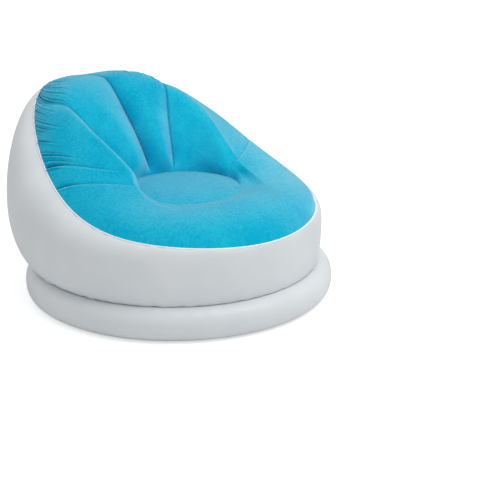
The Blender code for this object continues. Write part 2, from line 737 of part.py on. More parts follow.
def valve(prefix, skin, frame):
    """One valve on a flat facet: local Z is outward, local X level along the skin."""
    seat = bpy.data.objects.new(prefix + "_seat", None)
    PARTS.objects.link(seat)
    seat.matrix_world = frame

    # Hole in the skin for the collar
    hole = cylinder_tool(prefix + "_hole", COLLAR_RADIUS + GAP, 2 * COLLAR_DEPTH, TURN_STEPS)
    hang(hole, seat)
    boolean(skin, hole, "DIFFERENCE")

    # Collar with its welded flange and the lug that holds the stopper's strap
    profile = [(BORE_TOP_RADIUS, COLLAR_RISE), (COLLAR_RADIUS, COLLAR_RISE),
               (COLLAR_RADIUS, GAP + FLANGE_THICKNESS), (FLANGE_RADIUS, GAP + FLANGE_THICKNESS),
               (FLANGE_RADIUS, GAP), (COLLAR_RADIUS, GAP), (COLLAR_RADIUS, -COLLAR_DEPTH),
               (BORE_FOOT_RADIUS, -COLLAR_DEPTH)]
    collar = turned(prefix + "_collar", profile, VALVE_WHITE, VINYL_ROUGHNESS)
    hang(collar, seat)
    lug = box_tool(prefix + "_lug", ((BORE_TOP_RADIUS + COLLAR_RADIUS) / 2, -STRAP_WIDTH / 2, GAP + INSET),
                   (STRAP_REACH + LUG_LENGTH, STRAP_WIDTH / 2, COLLAR_RISE - INSET))
    hang(lug, seat)
    boolean(collar, lug, "UNION")

    # Stopper: head, tapered plug, inlet, strap and pull tab
    head_foot = COLLAR_RISE + GAP
    head_top = head_foot + HEAD_THICKNESS
    strap_low = head_foot + INSET
    strap_high = strap_low + STRAP_THICKNESS
    spot = (STRAP_REACH, 0, (strap_low + strap_high) / 2)
    stopper_hinge = joint_empty(prefix + "_stopper_hinge", seat, spot)
    profile = [(INLET_TOP_RADIUS, head_top), (HEAD_RADIUS, head_top), (HEAD_RADIUS, head_foot),
               (bore_radius(head_foot) - GAP, head_foot), (bore_radius(-PLUG_DEPTH) - GAP, -PLUG_DEPTH),
               (INLET_FOOT_RADIUS, -PLUG_DEPTH), (INLET_FOOT_RADIUS, head_top - INLET_TAPER_DEPTH)]
    stopper = turned(prefix + "_stopper", profile, VALVE_WHITE, VINYL_ROUGHNESS)
    hang(stopper, stopper_hinge)
    strap = box_tool(prefix + "_strap", (HEAD_RADIUS - PULL_TAB / 2, -STRAP_WIDTH / 2, strap_low),
                     (STRAP_REACH + STRAP_THICKNESS / 2, STRAP_WIDTH / 2, strap_high))
    tab = box_tool(prefix + "_pull_tab", (-HEAD_RADIUS - PULL_TAB, -STRAP_WIDTH / 2, strap_low),
                   (-HEAD_RADIUS + PULL_TAB / 2, STRAP_WIDTH / 2, strap_high))
    for tool in (strap, tab):
        hang(tool, stopper_hinge)
        boolean(stopper, tool, "UNION")

    # Cap: head, tapered plug and strap, hinged on the stopper's head
    cap_foot = head_top + GAP
    cap_low = cap_foot + INSET
    cap_high = cap_low + CAP_STRAP_THICKNESS
    spot = (0, CAP_STRAP_REACH, (cap_low + cap_high) / 2)
    cap_hinge = joint_empty(prefix + "_cap_hinge", stopper_hinge, spot)
    taper = (INLET_TOP_RADIUS - INLET_FOOT_RADIUS) / INLET_TAPER_DEPTH
    cap_top = cap_foot + CAP_THICKNESS
    profile = [(0, cap_top), (CAP_RADIUS, cap_top), (CAP_RADIUS, cap_foot),
               (INLET_TOP_RADIUS - GAP, cap_foot),
               (INLET_TOP_RADIUS - GAP - taper * CAP_PLUG_DEPTH, head_top - CAP_PLUG_DEPTH),
               (0, head_top - CAP_PLUG_DEPTH)]
    cap = turned(prefix + "_cap", profile, VALVE_WHITE, VINYL_ROUGHNESS)
    hang(cap, cap_hinge)
    strap = box_tool(prefix + "_cap_strap", (-CAP_STRAP_WIDTH / 2, CAP_RADIUS / 2, cap_low),
                     (CAP_STRAP_WIDTH / 2, CAP_STRAP_REACH + CAP_STRAP_THICKNESS / 2, cap_high))
    hang(strap, cap_hinge)
    boolean(cap, strap, "UNION")

    # Check flap under the inlet, hinged at its edge
    flap_top = -PLUG_DEPTH - GAP
    flap_foot = flap_top - FLAP_THICKNESS
    spot = (FLAP_RADIUS, 0, (flap_top + flap_foot) / 2)
    flap_hinge = joint_empty(prefix + "_flap_hinge", stopper_hinge, spot)
    profile = [(0, flap_top), (FLAP_RADIUS, flap_top), (FLAP_RADIUS, flap_foot), (0, flap_foot)]
    flap = turned(prefix + "_flap", profile, CLEAR, VINYL_ROUGHNESS)
    hang(flap, flap_hinge)


flocked_panels()
seat_panel()
OUTER_WALL, BODY_FRAME, BASE_WALL, BASE_FRAME = white_skins()
body_webs(wall_rows())
tension_web("seat_web", SEAT_HEIGHT - WEB_FILM, WAIST_HEIGHT + WEB_FILM / 2 + GAP)
tension_web("base_web", WAIST_HEIGHT - WEB_FILM / 2 - GAP, VINYL + GAP)
valve("body_valve", OUTER_WALL, BODY_FRAME)
valve("base_valve", BASE_WALL, BASE_FRAME)
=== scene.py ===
"""Looks of the inflatable lounge chair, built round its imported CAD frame.

Metres, +Z up, the chair faces -Y. Angles go round the chair seen from above: 0 at the
back (+Y), 90 at +X, 180 at the front.
"""
import math

import bpy
import numpy as np
from mathutils import Matrix


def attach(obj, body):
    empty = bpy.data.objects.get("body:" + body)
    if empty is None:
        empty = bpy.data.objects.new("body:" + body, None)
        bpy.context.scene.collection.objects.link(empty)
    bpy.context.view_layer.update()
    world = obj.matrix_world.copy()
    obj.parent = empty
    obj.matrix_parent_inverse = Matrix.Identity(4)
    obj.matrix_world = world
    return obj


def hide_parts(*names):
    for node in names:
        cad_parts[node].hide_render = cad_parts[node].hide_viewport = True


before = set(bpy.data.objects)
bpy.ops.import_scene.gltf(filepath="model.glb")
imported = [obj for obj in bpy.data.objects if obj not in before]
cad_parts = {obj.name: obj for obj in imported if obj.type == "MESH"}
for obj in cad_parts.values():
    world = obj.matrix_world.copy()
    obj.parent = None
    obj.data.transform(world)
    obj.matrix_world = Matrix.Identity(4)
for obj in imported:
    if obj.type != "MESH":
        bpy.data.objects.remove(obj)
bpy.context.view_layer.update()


# Base ring
#
# A ring-shaped air chamber of white vinyl film, welded to the flat floor sheet below and
# to the body at the narrow waist above. It bulges between its two welds and puckers a
# little beside them. Its air valve sits at the rear on a flat spot with a round hole.

BASE_RADIUS = 0.508
BASE_BULGE_HEIGHT = 0.050
FOOT_RADIUS = 0.449
WAIST_RADIUS = 0.453
WAIST_HEIGHT = 0.106
BASE_CENTRE_Y = -0.0475
BASE_ROUNDNESS = 2.45
LIP = 0.008
FILM = 0.0008
WAVE_COUNT = 14
HOLE_RADIUS = 0.0171
VALVE_FLAT_RADII = (0.024, 0.045)
VALVE_REACH = 0.03
VINYL_IOR = 1.53
BASE_PUCKER = 0.0011
BASE_SWAY = 0.0010
BASE_INSET = 0.0012


def ring(radius, height, centre_y, phi):
    """Level circle: x = r sin phi, y = centre + r cos phi."""
    x = radius * np.sin(phi)
    y = centre_y + radius * np.cos(phi)
    return np.stack([x, y, height + np.zeros_like(x)], -1)


def smooth(x, low, high):
    """Smooth step from 0 at low to 1 at high: t squared times (3 - 2t)."""
    t = np.clip((x - low) / (high - low), 0, 1)
    return t * t * (3 - 2 * t)


def waves(phi, slowest, fastest, seed):
    """Uneven closed waves round the chair: cosines of whole counts with seeded phases, about -1 to 1."""
    draw = np.random.default_rng(seed)
    counts = draw.integers(slowest, fastest + 1, WAVE_COUNT)
    phases = draw.uniform(0, 2 * math.pi, WAVE_COUNT)
    return sum(np.cos(n * phi + p) for n, p in zip(counts, phases)) / math.sqrt(WAVE_COUNT)


def unit(v):
    """Vectors of length one."""
    return v / np.maximum(np.linalg.norm(v, axis=-1, keepdims=True), 1e-12)


def valve_flat(points, centre, right, out):
    """Points beside a valve moved onto its plane: wholly near its axis, not at all past the outer radius.

    Those inside the collar's hole move out to its edge. The second result says which they were.
    """
    centre, right, out = np.array(centre), np.array(right), np.array(out)
    up = np.cross(out, right)
    offset = points - centre
    across, high, away = offset @ right, offset @ up, offset @ out
    distance = np.hypot(across, high)
    near = np.abs(away) < VALVE_REACH
    points = points - (near * (1 - smooth(distance, *VALVE_FLAT_RADII)) * away)[..., None] * out
    inside = near & (distance < HOLE_RADIUS)
    push = np.where(inside, HOLE_RADIUS / np.maximum(distance, 1e-6) - 1, 0)
    return points + (push * across)[..., None] * right + (push * high)[..., None] * up, inside


def skin(name, points, closed=False, thickness=FILM, hole=None, folds=None):
    """Piece of film from a grid of points, row by column, its faces out.

    Faces wholly in the hole are left out. folds, 0 to 1, goes with the points for the material, which paints
    shade into them.
    """
    rows, cols = points.shape[:2]
    index = np.arange(rows * cols).reshape(rows, cols)
    right = np.roll(index, -1, 1) if closed else index[:, 1:]
    left = index if closed else index[:, :-1]
    quads = np.stack([left[:-1], left[1:], right[1:], right[:-1]], -1).reshape(-1, 4)
    if hole is not None:
        quads = quads[~hole.reshape(-1)[quads].all(1)]
    used, quads = np.unique(quads, return_inverse=True)
    quads = quads.reshape(-1, 4)
    mesh = bpy.data.meshes.new(name)
    mesh.vertices.add(len(used))
    mesh.vertices.foreach_set("co", points.reshape(-1, 3)[used].reshape(-1).astype(np.float32))
    mesh.loops.add(quads.size)
    mesh.loops.foreach_set("vertex_index", quads.reshape(-1).astype(np.int32))
    mesh.polygons.add(len(quads))
    mesh.polygons.foreach_set("loop_start", np.arange(0, quads.size, 4, dtype=np.int32))
    mesh.update(calc_edges=True)
    mesh.shade_smooth()
    if folds is not None:
        fold = mesh.attributes.new("fold", "FLOAT", "POINT")
        fold.data.foreach_set("value", folds.reshape(-1)[used].astype(np.float32))
    obj = bpy.data.objects.new(name, mesh)
    bpy.context.scene.collection.objects.link(obj)
    if thickness:
        solid = obj.modifiers.new("Film", "SOLIDIFY")
        solid.thickness = thickness
        solid.offset = -1.0
    return obj


def linear(hex_colour):
    """Linear colour of an sRGB hex string."""
    parts = [int(hex_colour[i:i + 2], 16) / 255 for i in (1, 3, 5)]
    return tuple(c / 12.92 if c <= 0.04045 else ((c + 0.055) / 1.055) ** 2.4 for c in parts) + (1.0,)


def node(mat, kind, settings=None, **links):
    """Add a node with its settings. Its inputs, by name or number, link to outputs or take values."""
    made = mat.node_tree.nodes.new(kind)
    for key, value in (settings or {}).items():
        setattr(made, key, value)
    for key, value in links.items():
        numbered = key[0] == "i" and key[1:].isdigit()
        socket = made.inputs[int(key[1:])] if numbered else made.inputs[key.replace("_", " ")]
        if isinstance(value, bpy.types.NodeSocket):
            mat.node_tree.links.new(value, socket)
        else:
            socket.default_value = value
    return made


def new_material(name):
    """Empty material with its Principled shader."""
    mat = bpy.data.materials.new(name)
    mat.use_nodes = True
    return mat, mat.node_tree.nodes["Principled BSDF"]


def join(mat, output, shader, name):
    """Link an output to a named input of the shader."""
    mat.node_tree.links.new(output, shader.inputs[name])


def two_tones(mat, value, low, high, dark, light):
    """Colour ramp between two sRGB hex colours at two places of a value."""
    ramp = node(mat, "ShaderNodeValToRGB", Fac=value)
    for element, place, colour in zip(ramp.color_ramp.elements, (low, high), (dark, light)):
        element.position = place
        element.color = linear(colour)
    return ramp.outputs["Color"]


def span(mat, value, start, end, first=0.0, last=1.0):
    """Straight scale of a value: first at start, last at end, and held beyond them."""
    scale = node(mat, "ShaderNodeMapRange", Value=value, i1=start, i2=end, i3=first, i4=last)
    return scale.outputs["Result"]


def math_of(mat, operation, left, right):
    """Sum, product or another operation on two values."""
    return node(mat, "ShaderNodeMath", {"operation": operation}, i0=left, i1=right).outputs[0]


def blend(mat, share, under, over):
    """Colour between two others by a share."""
    return node(mat, "ShaderNodeMix", {"data_type": "RGBA"}, i0=share, i6=under, i7=over).outputs[2]


# White vinyl: calendered PVC film, satin, with a faint orange-peel grain and slow changes of gloss
white_vinyl, shader = new_material("calendered_white_vinyl")
shader.inputs["IOR"].default_value = VINYL_IOR
shader.inputs["Specular IOR Level"].default_value = 0.35
where = node(white_vinyl, "ShaderNodeTexCoord").outputs["Object"]
slow = node(white_vinyl, "ShaderNodeTexNoise", Vector=where, Scale=5.0, Detail=3.0).outputs["Fac"]
join(white_vinyl, two_tones(white_vinyl, slow, 0.35, 0.68, "#D0D5D8", "#D8DCDF"), shader, "Base Color")
join(white_vinyl, span(white_vinyl, slow, 0.0, 1.0, 0.38, 0.48), shader, "Roughness")
grain = node(white_vinyl, "ShaderNodeTexNoise", Vector=where, Scale=450.0, Detail=1.0)
relief = node(white_vinyl, "ShaderNodeBump", Height=grain.outputs["Fac"], Strength=0.08, Distance=0.0006)
join(white_vinyl, relief.outputs["Normal"], shader, "Normal")

BASE_VALVE = ((-0.09353, 0.45105, 0.05133), (-0.98285, -0.18438, 0.0), (-0.18438, 0.98285, 0.0))
around = np.union1d(np.linspace(0, 2 * math.pi, 400, endpoint=False), np.linspace(6.044, 6.150, 44))
angle = np.union1d(np.radians(np.linspace(-90, 90, 60)), np.radians(np.linspace(-22, 22, 36)))[:, None]
power = 2 / BASE_ROUNDNESS
out = np.maximum(np.cos(angle), 0) ** power
up = np.abs(np.sin(angle)) ** power
end_radius = np.where(angle < 0, FOOT_RADIUS, WAIST_RADIUS)
end_height = np.where(angle < 0, FILM, WAIST_HEIGHT - FILM)
radius = end_radius + (BASE_RADIUS - end_radius) * out
height = BASE_BULGE_HEIGHT + (end_height - BASE_BULGE_HEIGHT) * up
pucker = BASE_PUCKER * waves(around, 30, 66, 11) * smooth(angle, 0.35, 1.1) * (1 - smooth(angle, 1.45, 1.57))
sway = BASE_SWAY * waves(around, 3, 9, 12) * np.cos(angle)
base = ring(radius + pucker + sway - BASE_INSET, height, BASE_CENTRE_Y, around[None, :])
foot_lip = ring(FOOT_RADIUS - LIP, FILM, BASE_CENTRE_Y, around)
waist_lip = ring(WAIST_RADIUS - LIP, WAIST_HEIGHT - FILM, BASE_CENTRE_Y, around)
base, hole = valve_flat(np.concatenate([[foot_lip], base, [waist_lip]]), *BASE_VALVE)
base_skin = skin("base_ring_skin", base, closed=True, hole=hole)
base_skin.data.materials.append(white_vinyl)
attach(base_skin, "chair")
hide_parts("base_wall")
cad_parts["floor_sheet"].data.materials.clear()
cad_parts["floor_sheet"].data.materials.append(white_vinyl)


# Sheet between the two chambers, and the webs inside them
#
# Thin clear vinyl film, which lets most light through. The webs are welded to the flocked
# sheet along the seams and to the white skins, and hold the blown-up chair's shape.

FILM_ALPHA = 0.12
web_film, shader = new_material("clear_vinyl_film")
shader.inputs["Roughness"].default_value = 0.25
shader.inputs["IOR"].default_value = VINYL_IOR
where = node(web_film, "ShaderNodeTexCoord").outputs["Object"]
cloud = node(web_film, "ShaderNodeTexNoise", Vector=where, Scale=18.0, Detail=2.0).outputs["Fac"]
join(web_film, two_tones(web_film, cloud, 0.0, 1.0, "#D9DDE0", "#E6E9EB"), shader, "Base Color")
shader.inputs["Alpha"].default_value = FILM_ALPHA
for name in ("partition_sheet", "back_web_centre", "back_web_left", "back_web_right", "arm_web_left",
             "arm_web_right", "seat_web", "base_web", "body_valve_flap", "base_valve_flap"):
    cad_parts[name].data.materials.clear()
    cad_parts[name].data.materials.append(web_film)


# White body skin
#
# One skin of the same white film from the waist weld out to the widest line and in again to
# the rim, high at the back and low at the front. Air pressure draws it tight and smooth, with
# faint puckers beside the welds. Its air valve is at the rear too.

BODY_HALF_WIDTH = 0.507
BODY_HALF_DEPTH = 0.5335
BODY_SETBACK = 0.0695
BULGE_HEIGHTS = (0.341, 0.263, 0.237)
RIM_HALF_WIDTHS = (0.323, 0.4145, 0.4725)
RIM_HALF_DEPTH = 0.5215
RIM_SETBACK = 0.0615
RIM_HEIGHTS = (0.620, 0.5705, 0.376, 0.2955, 0.2775)
LOWER_WALL_ROUNDNESS = 2.0
UPPER_WALL_ROUNDNESS = 2.26
UPPER_WALL_END = math.radians(85)
WAIST_PUCKER = 0.0012
RIM_PUCKER = 0.0009
BODY_SWAY = 0.0014
BODY_INSET = 0.0010
BODY_LIFT = 0.0022
CHAMBER_MIDDLE = np.array([0.0, BASE_CENTRE_Y, 0.2])
BODY_VALVE = ((0.14137, 0.51249, 0.22691), (-0.95851, 0.28507, 0.0), (0.26922, 0.90521, -0.32881))


def round_chair(values, phi):
    """Smooth value through values at even angles, back to front: the sum of a_k cos(k phi)."""
    turns = np.arange(len(values))
    marks = turns * math.pi / (len(values) - 1)
    shares = np.linalg.solve(np.cos(np.outer(marks, turns)), values)
    return np.cos(np.multiply.outer(phi, turns)) @ shares


def rim(phi):
    """Rim weld: x = w(phi) sin phi, y = centre + setback + d cos phi, z = h(phi).

    w and h follow round_chair.
    """
    x = round_chair(RIM_HALF_WIDTHS, phi) * np.sin(phi)
    y = BASE_CENTRE_Y + RIM_SETBACK + RIM_HALF_DEPTH * np.cos(phi)
    return np.stack([x, y, round_chair(RIM_HEIGHTS, phi)], -1)


def bulge(phi):
    """Widest line of the body: an ellipse whose height follows round_chair."""
    x = BODY_HALF_WIDTH * np.sin(phi)
    y = BASE_CENTRE_Y + BODY_SETBACK + BODY_HALF_DEPTH * np.cos(phi)
    return np.stack([x, y, round_chair(BULGE_HEIGHTS, phi)], -1)


def between(start, end, across, along):
    """Point between two others, with its own share in plan and in height."""
    plan = start[..., :2] + (end - start)[..., :2] * across[..., None]
    height = start[..., 2:] + (end - start)[..., 2:] * along[..., None]
    return np.concatenate([plan, height], -1)


def wall(phi, row):
    """Body skin: superellipse arcs from the waist (row 0) to the bulge (1) and on to the rim (2)."""
    angle = np.clip(row, 0, 1) * math.pi / 2
    power = 2 / LOWER_WALL_ROUNDNESS
    waist = ring(WAIST_RADIUS, WAIST_HEIGHT, BASE_CENTRE_Y, phi)
    lower = between(waist, bulge(phi), np.sin(angle) ** power, 1 - np.cos(angle) ** power)
    angle = np.clip(row - 1, 0, 1) * UPPER_WALL_END
    power = 2 / UPPER_WALL_ROUNDNESS
    across = (1 - np.cos(angle) ** power) / (1 - math.cos(UPPER_WALL_END) ** power)
    along = np.sin(angle) ** power / math.sin(UPPER_WALL_END) ** power
    upper = between(bulge(phi), rim(phi), across, along)
    return np.where((row < 1)[..., None], lower, upper)


def grid_normals(points, closed):
    """Normals of a grid of points: the cross product of its slopes along and round."""
    along = np.gradient(points, axis=0)
    if closed:
        round_it = (np.roll(points, -1, 1) - np.roll(points, 1, 1)) / 2
    else:
        round_it = np.gradient(points, axis=1)
    return unit(np.cross(along, round_it))


around = np.union1d(np.linspace(0, 2 * math.pi, 460, endpoint=False), np.linspace(0.235, 0.345, 40))
steps = np.union1d(np.linspace(0, 2, 60), np.linspace(0.59, 0.78, 30))
phi, row = np.meshgrid(around, steps)
body = wall(phi, row)
normal = grid_normals(body, closed=True)
pucker = WAIST_PUCKER * waves(phi, 30, 75, 21) * (1 - smooth(row, 0.15, 0.6)) * smooth(row, 0, 0.08)
near_rim = smooth(row, 1.6, 1.9) * (1 - smooth(row, 1.95, 2.0))
pucker = pucker + RIM_PUCKER * waves(phi, 40, 80, 22) * near_rim
sway = BODY_SWAY * waves(phi, 3, 10, 23) * smooth(row, 0, 0.6) * (1 - smooth(row, 1.4, 2.0))
# The skin lies over the webs' outer edges between its two welds
lift = BODY_LIFT * smooth(row, 0, 0.12) * (1 - smooth(row, 1.75, 2.0)) - BODY_INSET
body = body + normal * (pucker + sway + lift)[..., None]
inner = unit(CHAMBER_MIDDLE - rim(around))
rim_lip = rim(around) + inner * LIP
waist_lip = ring(WAIST_RADIUS - LIP, WAIST_HEIGHT + FILM, BASE_CENTRE_Y, around)
body, hole = valve_flat(np.concatenate([[waist_lip], body, [rim_lip]]), *BODY_VALVE)
body_skin = skin("body_skin", body, closed=True, hole=hole)
body_skin.data.materials.append(white_vinyl)
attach(body_skin, "chair")
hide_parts("outer_wall")


# Flocked back and front panels
#
# Vinyl film with a short velvety flock, cut as two panels that meet at the arm seams. The back
# panel is welded to webs along three seams, so it puffs into four channels, and both panels are
# gathered into the rim weld and drawn down to the seat.

CREST_INSETS = (0.148, 0.105, 0.198, 0.160, 0.182)
CREST_RISES = (0.018, 0.046, 0.072, 0.058, 0.090)
SEAT_RADIUS = 0.186
SEAT_HEIGHT = 0.352
SEAT_FORWARD = 0.029
ROLL_START = math.radians(25)
CREST_ROW = 0.35
TOP_PULLS = (0.21, 0.24, 0.17, 0.08, 0.18)
FOOT_BULGES = (0.12, 0.12, 0.08, 0.02, 0.02)
FOOT_RISES = (0.24, 0.24, 0.45, 0.50, 0.30)
# Angle of each seam at the rim, the crest and the seat
SEAM_ANGLES = np.radians([(0, 0, 0), (32.5, 49, 30), (74.5, 94, 80), (84.5, 103, 95), (180, 180, 180)])
SEAM_LATENESS = (0, 0, 1, 1, 1)
LATE_POWER = 1.35
CENTRE_TURN = np.radians((5, 11, 5))
CENTRE_SEAM, INNER_SEAM, DART_SEAM, ARM_SEAM, FRONT_LINE = range(5)
# Reach of each seam's notch in places, and its depth
SEAM_NOTCHES = ((CENTRE_SEAM, 0.22, 0.0065), (INNER_SEAM, 0.20, 0.0065), (DART_SEAM, 0.20, 0.0038),
                (ARM_SEAM, 0.22, 0.0038))
# The dart on the +X side hardly shows
PLUS_X_DART_SHARE = 0.15
CHANNEL_HEIGHT = 0.041
CHANNEL_ROUNDNESS = 0.9
CHANNEL_SINK = 0.5
OUTER_CROWN = 0.45
OUTER_HEIGHT = 0.72
ARM_CROWN = 0.010
ARM_OVERHANG = 0.011
ARM_CROWN_START, ARM_CROWN_END = (82, 108), (130, 168)
OVERHANG_START = (50, 78)
CHANNEL_START, CHANNEL_END = (0.22, 0.66), (0.84, 1.0)
CREST_SHARE = 0.14
GATHER_STEP_DEGREES = 2.6
GATHER_DEPTHS = (0.0030, 0.0075)
GATHER_WIDTHS = (0.009, 0.016)
GATHER_LENGTHS = (0.12, 0.27)
SEAM_GATHER = (0.006, 0.016, 0.17, 0.0)
FAINT_SEAM_GATHER_DEPTH = 0.002
SHOULDER_SHARE = 0.55
FLOCKED_FILM = 0.001
ROUNDING_PASSES = 40
SEAM_GAP = 0.0006


def crest(phi):
    """Top line of the roll: in from the rim towards the seat, and up, as round_chair says."""
    edge = rim(phi)
    centre = np.array([0.0, BASE_CENTRE_Y - SEAT_FORWARD])
    spoke = edge[..., :2] - centre
    inset = round_chair(CREST_INSETS, phi) / np.linalg.norm(spoke, axis=-1)
    plan = centre + spoke * (1 - inset)[..., None]
    return np.concatenate([plan, (edge[..., 2] + round_chair(CREST_RISES, phi))[..., None]], -1)


def bowl(phi, row):
    """Flocked bowl: an arc from the rim (row 0) to the crest, then a cubic Bezier to the seat (row 1)."""
    angle = ROLL_START + (math.pi / 2 - ROLL_START) * np.clip(row / CREST_ROW, 0, 1)
    across = (math.cos(ROLL_START) - np.cos(angle)) / math.cos(ROLL_START)
    along = (np.sin(angle) - math.sin(ROLL_START)) / (1 - math.sin(ROLL_START))
    outer = between(rim(phi), crest(phi), across, along)
    w = np.clip((row - CREST_ROW) / (1 - CREST_ROW), 0, 1)[..., None]
    top, foot = crest(phi), ring(SEAT_RADIUS, SEAT_HEIGHT, BASE_CENTRE_Y - SEAT_FORWARD, phi)
    inward = (foot - top) * np.array([1.0, 1.0, 0.0])
    upward = (top - foot) * np.array([0.0, 0.0, 1.0])
    pull_top = top + inward * round_chair(TOP_PULLS, phi)[..., None]
    pull_foot = foot + inward * round_chair(FOOT_BULGES, phi)[..., None]
    pull_foot = pull_foot + upward * round_chair(FOOT_RISES, phi)[..., None]
    inner = (1 - w) ** 3 * top + 3 * (1 - w) ** 2 * w * pull_top
    inner = inner + 3 * (1 - w) * w * w * pull_foot + w ** 3 * foot
    return np.where((row < CREST_ROW)[..., None], outer, inner)


def seam_angle(place, row):
    """Angle of a column: a parabola or a late power curve from rim to crest, a smooth step to the seat."""
    p = np.abs(place)
    near = np.clip(1 - p, 0, 1)
    at_rim, at_crest, at_seat = (
        np.sign(place) * np.interp(p, range(5), SEAM_ANGLES[:, k]) + CENTRE_TURN[k] * near
        for k in range(3))
    late = np.interp(p, range(5), SEAM_LATENESS)
    t = np.clip(row / CREST_ROW, 0, 1)
    early = 1 - (1 - t) ** 2
    outer = at_rim + (at_crest - at_rim) * (early + (t ** LATE_POWER - early) * late)
    inner = at_crest + (at_seat - at_crest) * smooth(row, CREST_ROW, 1)
    return np.where(row < CREST_ROW, outer, inner)


def notch(distance, reach):
    """Sharp valley: depth one at a weld, a falling parabola to zero one reach away."""
    return np.clip(1 - np.abs(distance) / reach, 0, 1) ** 2


def channels(place, row):
    """Height of the puffed channels over the plain bowl, with a notch along each seam, and its folds, where
    the material paints shade.
    """
    p = np.abs(place)
    t = np.clip(p, CENTRE_SEAM, INNER_SEAM)
    inner = np.clip(1 - (2 * t - 1) ** 2, 0, 1) ** CHANNEL_ROUNDNESS
    x = np.clip((p - INNER_SEAM) / (ARM_SEAM - INNER_SEAM), 0, 1)
    outer = OUTER_HEIGHT * (1 - np.clip(1 - x / OUTER_CROWN, 0, 1) ** 2) * (1 - smooth(x, OUTER_CROWN, 1))
    form = np.where(p < INNER_SEAM, inner, outer)
    risen, deep = smooth(row, 0, CREST_ROW), smooth(row, *CHANNEL_START)
    fading = 1 - smooth(row, *CHANNEL_END)
    sink = CHANNEL_SINK * deep * (1 - smooth(p, INNER_SEAM, ARM_SEAM))
    height = CHANNEL_HEIGHT * (CREST_SHARE * risen + (1 - CREST_SHARE) * deep) * (form - sink) * fading
    side = np.degrees(np.abs(seam_angle(place, row)))
    arm = smooth(side, *ARM_CROWN_START) * (1 - smooth(side, *ARM_CROWN_END))
    height = height + ARM_CROWN * arm * smooth(row, 0, 0.25) * (1 - smooth(row, 0.4, 0.7))
    # Only the arm on the +X side leans out over the rim
    over = smooth(np.degrees(seam_angle(place, row)), *OVERHANG_START) * (1 - smooth(side, *ARM_CROWN_END))
    height = height + ARM_OVERHANG * over * smooth(row, 0, 0.06) * (1 - smooth(row, 0.10, 0.30))
    along = smooth(row, 0.0, 0.03) * (1 - smooth(row, 0.93, 1.0))
    folds = np.zeros_like(height)
    for seam, reach, depth in SEAM_NOTCHES:
        reach = np.where(p > ARM_SEAM, reach / 8, reach)
        length = np.where(place > 0, smooth(row, 0.06, 0.20), 1) if seam > INNER_SEAM else 1
        if seam == DART_SEAM:
            length = length * (1 - smooth(row, 0.22, 0.36)) * np.where(place > 0, PLUS_X_DART_SHARE, 1)
        height = height - depth * notch(p - seam, reach) * along * length
        folds = np.maximum(folds, notch(p - seam, reach / 4) * along * length)
    return height, folds


def gathers(place, row):
    """Creases square to the rim: notches of seeded place, depth, width and length, each with a shoulder.

    The deepest start the seams. Those of the sides and rear corners are deeper than those of the front.
    """
    draw = np.random.default_rng(31)
    at_rim = seam_angle(place[0], np.zeros_like(place[0]))
    turned = np.where(at_rim > math.pi, at_rim - 2 * math.pi, at_rim)
    height, folds = np.zeros_like(row), np.zeros_like(row)
    spots = np.radians(np.arange(-178, 180, GATHER_STEP_DEGREES))
    spots = spots + draw.uniform(-0.028, 0.028, len(spots))
    starts = np.radians([-84.5, -74.5, -32.5, 5, 32.5, 74.5, 84.5])
    for k, spot in enumerate(np.concatenate([spots, starts])):
        side = math.degrees(abs(spot))
        strength = 0.10 + 0.90 * smooth(side, 8, 18) * (1 - smooth(side, 71, 79))
        strength = strength * (1 - 0.65 * smooth(math.degrees(spot), 38, 50))
        depth = draw.uniform(*GATHER_DEPTHS) * strength
        width = draw.uniform(*GATHER_WIDTHS) * (1 + smooth(side, 96, 125))
        length = draw.uniform(*GATHER_LENGTHS) * (0.4 + 0.6 * strength) + 0.32 * (1 - smooth(side, 30, 38))
        lean = draw.uniform(-0.05, 0.05)
        if k >= len(spots):
            depth, width, length, lean = SEAM_GATHER
            if side < 10 or spot > 1:
                depth = FAINT_SEAM_GATHER_DEPTH
        near = np.abs(turned - spot) < 4 * width + abs(lean) * length
        distance = turned[None, near] - spot - lean * row[:, near]
        spread = width * (1 + row[:, near])
        fade = (1 - smooth(row[:, near], 0.35 * length, length)) * smooth(row[:, near], 0, 0.008)
        form = notch(distance, spread) - SHOULDER_SHARE * notch(distance + 1.5 * spread, spread)
        height[:, near] -= depth * form * fade
        fold = notch(distance, 0.9 * spread) * fade * min(depth / 0.0035, 1)
        folds[:, near] = np.maximum(folds[:, near], fold)
    return height, folds


# Flock: short nylon fibres on vinyl, matt, paler where the pile is seen along its tips, and with painted
# shade deep in its folds. The mottle of brushed pile is about 8 mm across, as the photograph shows it.
flock, shader = new_material("short_turquoise_flock")
shader.inputs["Roughness"].default_value = 0.95
shader.inputs["Specular IOR Level"].default_value = 0.0
shader.inputs["Sheen Roughness"].default_value = 0.36
shader.inputs["Sheen Tint"].default_value = linear("#C2EFFF")
where = node(flock, "ShaderNodeTexCoord").outputs["Object"]
patch = node(flock, "ShaderNodeTexNoise", Vector=where, Scale=9.0, Detail=4.0, Roughness=0.55).outputs["Fac"]
speck = node(flock, "ShaderNodeTexNoise", Vector=where, Scale=130.0, Detail=3.0, Roughness=0.7,
             Distortion=0.6).outputs["Fac"]
normal_way = node(flock, "ShaderNodeNewGeometry").outputs["Normal"]
faced = node(flock, "ShaderNodeSeparateXYZ", Vector=normal_way).outputs
brushed = span(flock, faced["Z"], 0.45, 0.95, 0.35, 0.80)
mottle = node(flock, "ShaderNodeMix", i0=brushed, i2=patch, i3=speck).outputs[0]
pile_tone = two_tones(flock, mottle, 0.42, 0.60, "#00A8CE", "#20B8D5")
